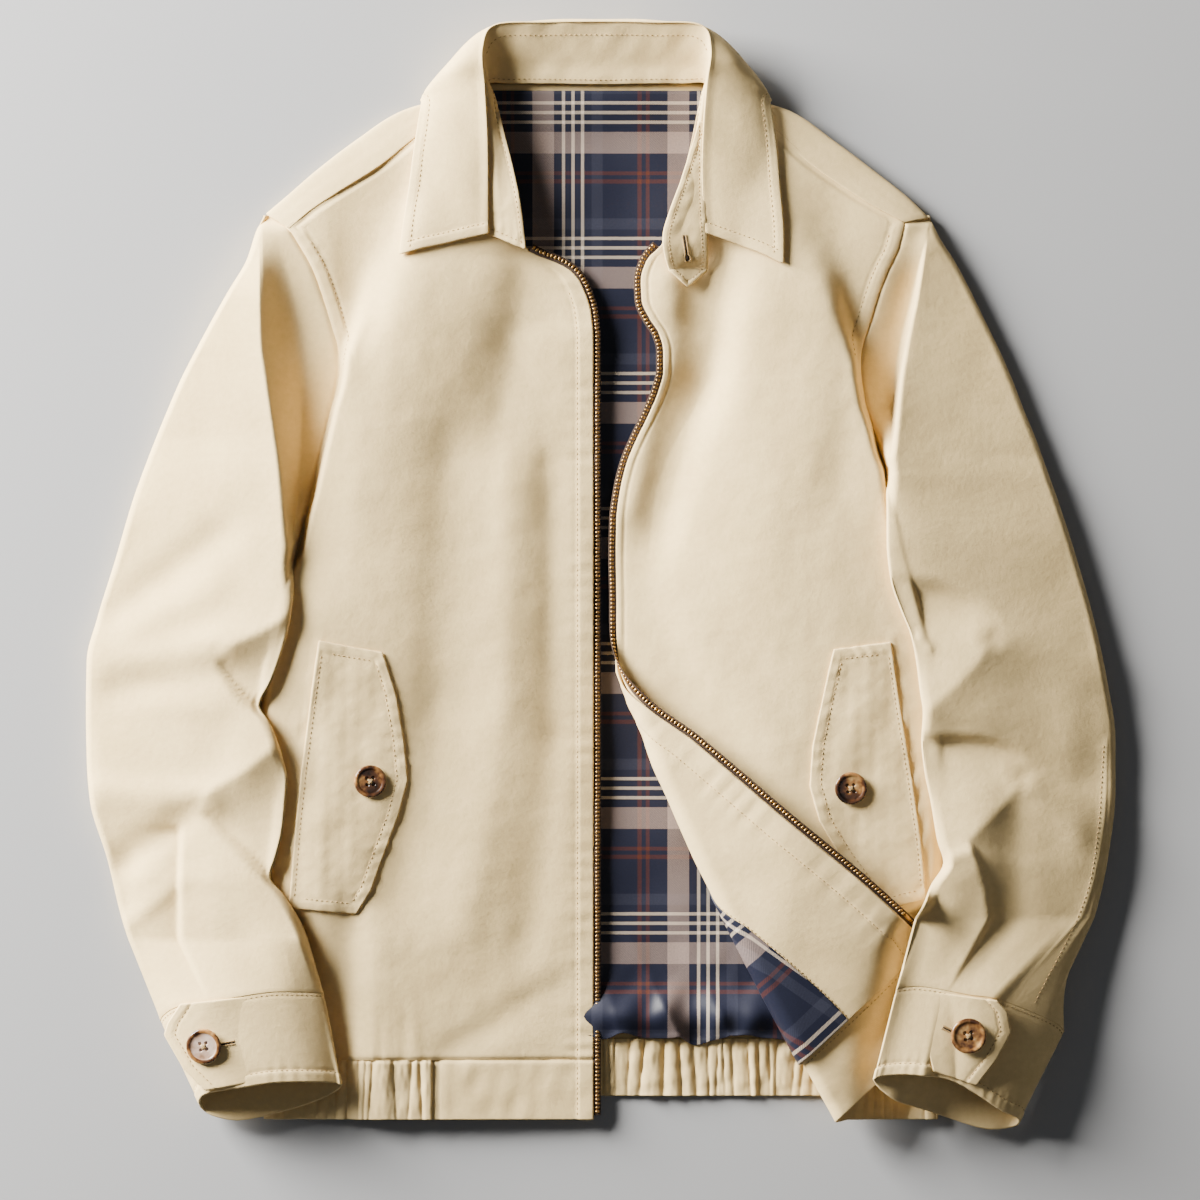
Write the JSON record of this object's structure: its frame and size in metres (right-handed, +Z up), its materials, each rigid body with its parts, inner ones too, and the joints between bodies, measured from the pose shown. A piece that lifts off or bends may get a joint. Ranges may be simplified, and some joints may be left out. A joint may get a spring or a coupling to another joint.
{
  "type": "harrington jacket",
  "caption": "Lined cotton jacket laid open and flat, with a turned-down collar, slanted pocket flaps, button cuffs and a gathered hem band.",
  "frame": {"origin": "on the surface the jacket lies on, under the middle of the whole laid-out jacket", "axes": "+X to the wearer's left side (the viewer's right), +Y towards the collar, +Z up from the surface"},
  "size_m": [0.6702, 0.7192, 0.0394],
  "materials": {
    "shell_twill": "peached cotton twill",
    "plaid_lining": "plain-woven plaid",
    "zip_tape": "woven tape",
    "zip_brass": "satin",
    "button_horn": "polished mottled horn look"
  },
  "bodies": {
    "root": {"back": "shell_twill", "hem_band_back": "shell_twill", "front_right": "shell_twill", "hem_band_right": "shell_twill", "front_left": "shell_twill", "facing_left": "shell_twill", "hem_band_left": "shell_twill", "sleeve_right": "shell_twill", "sleeve_left": "shell_twill", "cuff_right": "shell_twill", "cuff_left": "shell_twill", "cuff_tab_right": "shell_twill", "cuff_tab_left": "shell_twill", "collar_stand": "shell_twill", "collar_leaf": "shell_twill", "throat_tab": "shell_twill", "pocket_flap_right": "shell_twill", "pocket_flap_left": "shell_twill", "back_lining": "plaid_lining", "lining_left": "plaid_lining", "zip_tape_right": "zip_tape", "zip_tape_left": "zip_tape", "zip_teeth_right": "zip_brass", "zip_teeth_left": "zip_brass", "button_pocket_right": "button_horn", "button_pocket_left": "button_horn", "button_cuff_right": "button_horn", "button_cuff_left": "button_horn"}
  },
  "joints": []
}
